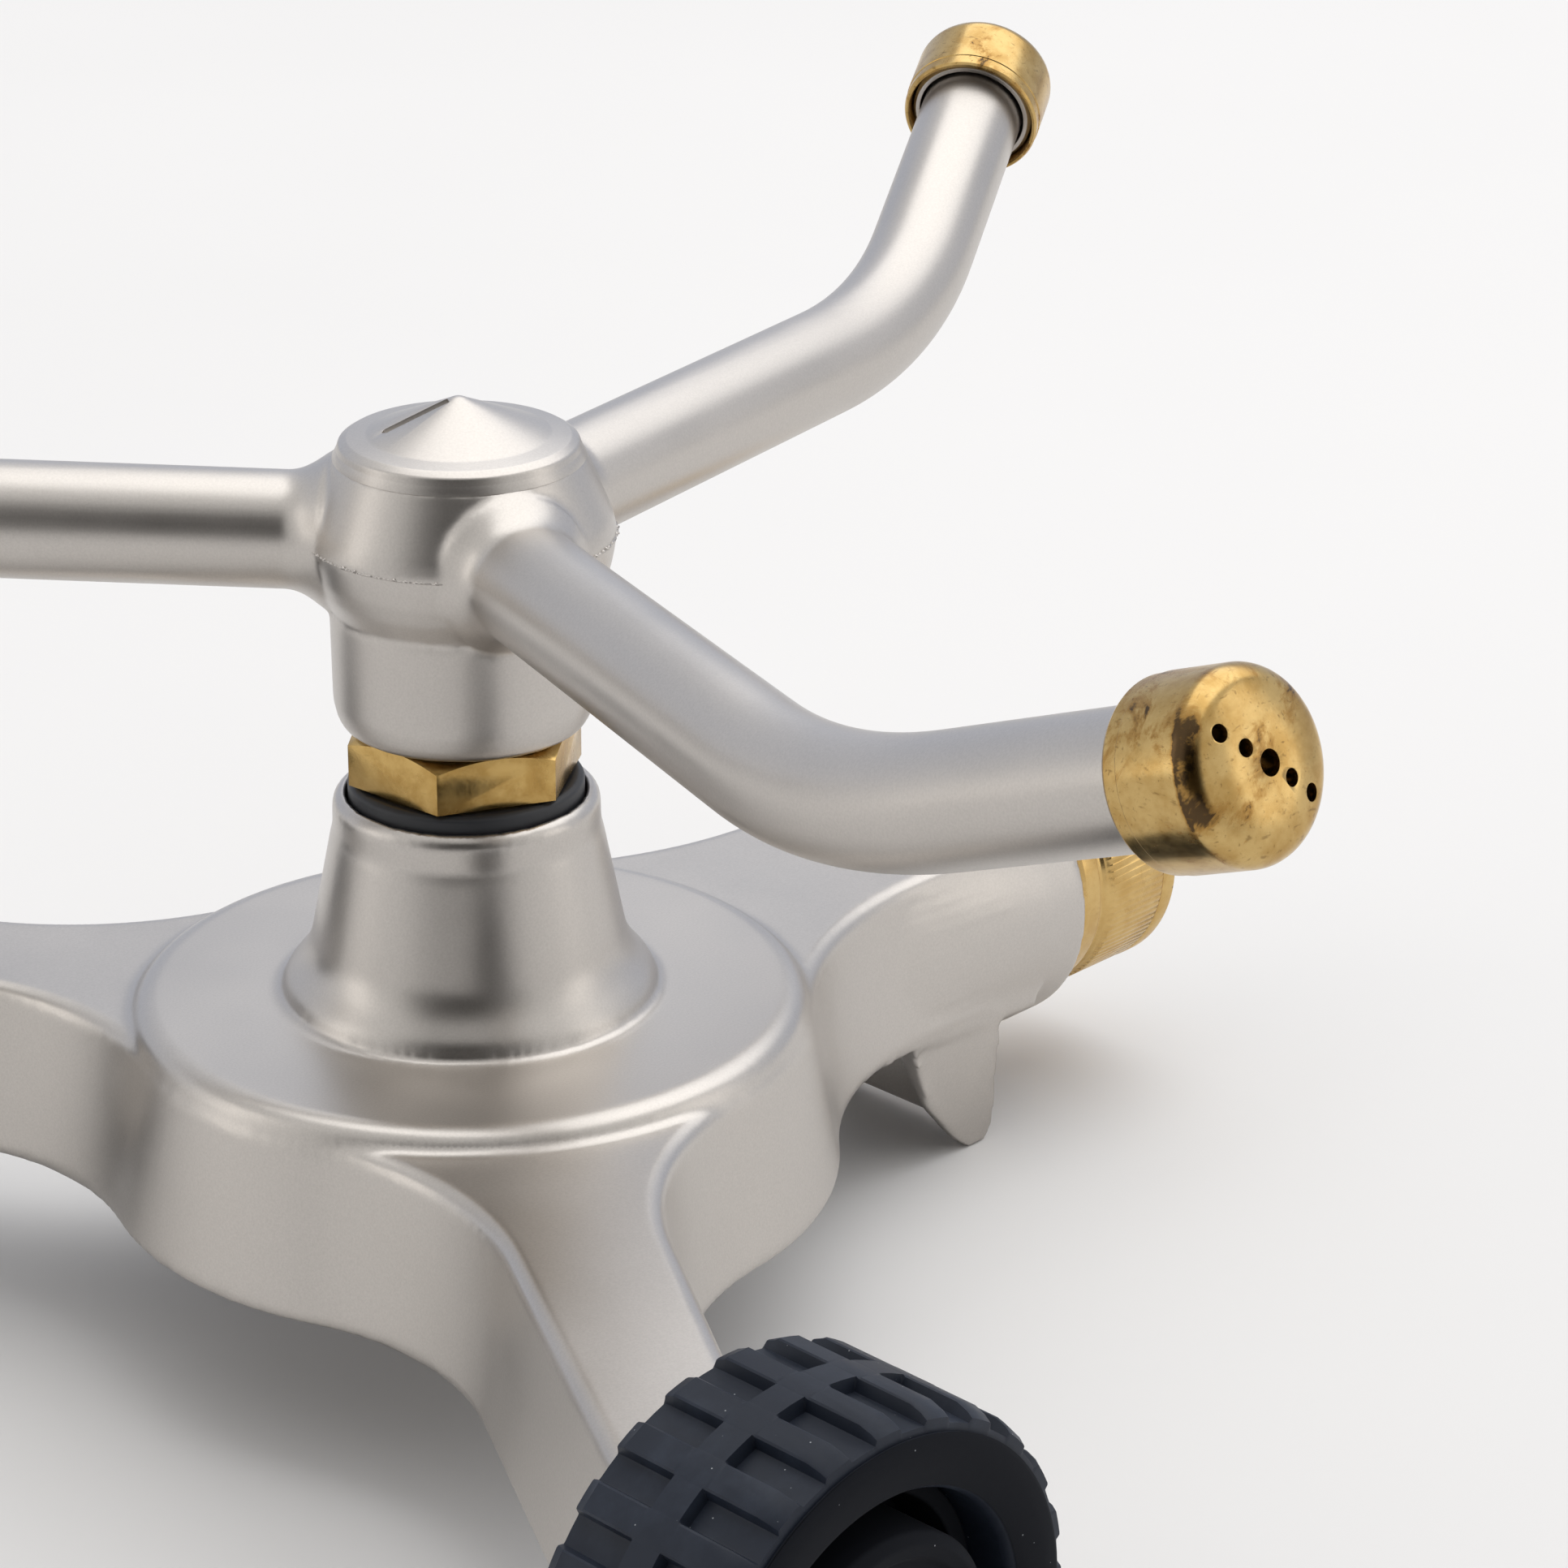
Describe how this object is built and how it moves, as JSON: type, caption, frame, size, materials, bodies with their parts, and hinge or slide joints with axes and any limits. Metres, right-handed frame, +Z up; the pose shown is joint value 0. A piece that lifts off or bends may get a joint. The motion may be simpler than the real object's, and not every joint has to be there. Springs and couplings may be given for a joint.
{
  "type": "rotary lawn sprinkler",
  "caption": "Rotary lawn sprinkler: a spinning hub with bent arms and brass nozzle caps on a cast base with wheels, a foot and a brass hose swivel.",
  "frame": {"origin": "on the ground under the middle of the bounding box", "axes": "+X along the inlet leg towards the hose, +Y to the left wheel, +Z up along the rotor's axis"},
  "size_m": [0.2198, 0.2294, 0.1134],
  "materials": {
    "satin_nickel": "satin nickel over die-cast zinc",
    "brass": "bare brass, tarnished",
    "black_rubber": "matte",
    "tyre_black": "matte moulded rubber",
    "wheel_black": "moulded plastic",
    "sleeve_nylon": "nylon",
    "steel": "zinc plated"
  },
  "bodies": {
    "base": {"base_casting": "satin_nickel", "inlet_foot": "satin_nickel", "inlet_nipple": "brass", "bearing_spindle": "brass", "spindle_seal": "black_rubber", "thrust_washer_lower": "steel", "thrust_washer_upper": "steel", "retaining_nut": "brass", "axle_pin_right": "steel", "axle_pin_left": "steel", "axle_washer_right": "steel", "axle_washer_left": "steel", "axle_cap_right": "steel", "axle_cap_left": "steel"},
    "rotor": {"rotor_hub": "satin_nickel", "hub_cap": "satin_nickel", "hub_cap_seal": "black_rubber", "bearing_sleeve": "sleeve_nylon", "arm_tube_1": "satin_nickel", "arm_tube_2": "satin_nickel", "arm_tube_3": "satin_nickel", "arm_ferrule_1": "satin_nickel", "arm_ferrule_2": "satin_nickel", "arm_ferrule_3": "satin_nickel"},
    "nozzle_1": {"nozzle_cap_1": "brass", "nozzle_gasket_1": "black_rubber"},
    "nozzle_2": {"nozzle_cap_2": "brass", "nozzle_gasket_2": "black_rubber"},
    "nozzle_3": {"nozzle_cap_3": "brass", "nozzle_gasket_3": "black_rubber"},
    "wheel_right": {"wheel_right_tyre": "tyre_black", "wheel_right_hub": "wheel_black"},
    "wheel_left": {"wheel_left_tyre": "tyre_black", "wheel_left_hub": "wheel_black"},
    "swivel": {"inlet_swivel": "brass", "inlet_washer": "black_rubber"}
  },
  "joints": [
    {"name": "rotor_spin", "type": "hinge", "parent": "base", "child": "rotor", "pos_m": [-0.01387, 0.01037, 0.08745], "axis": [0, 0, 1], "continuous": true},
    {"name": "nozzle_turn_1", "type": "hinge", "parent": "rotor", "child": "nozzle_1", "pos_m": [-0.10242, 0.09364, 0.1051], "axis": [-0.7947, 0.4794, 0.3723], "range_deg": [-90, 90]},
    {"name": "nozzle_turn_2", "type": "hinge", "parent": "rotor", "child": "nozzle_2", "pos_m": [-0.04171, -0.10795, 0.1051], "axis": [-0.0178, -0.9279, 0.3723], "range_deg": [-90, 90]},
    {"name": "nozzle_turn_3", "type": "hinge", "parent": "rotor", "child": "nozzle_3", "pos_m": [0.10252, 0.04542, 0.1051], "axis": [0.8125, 0.4485, 0.3723], "range_deg": [-90, 90]},
    {"name": "wheel_right_spin", "type": "hinge", "parent": "base", "child": "wheel_right", "pos_m": [-0.06277, -0.08403, 0.0242], "axis": [0, 1, 0], "continuous": true},
    {"name": "wheel_left_spin", "type": "hinge", "parent": "base", "child": "wheel_left", "pos_m": [-0.06277, 0.10477, 0.0242], "axis": [0, 1, 0], "continuous": true},
    {"name": "swivel_spin", "type": "hinge", "parent": "base", "child": "swivel", "pos_m": [0.07593, 0.01037, 0.0249], "axis": [1, 0, 0], "continuous": true}
  ]
}
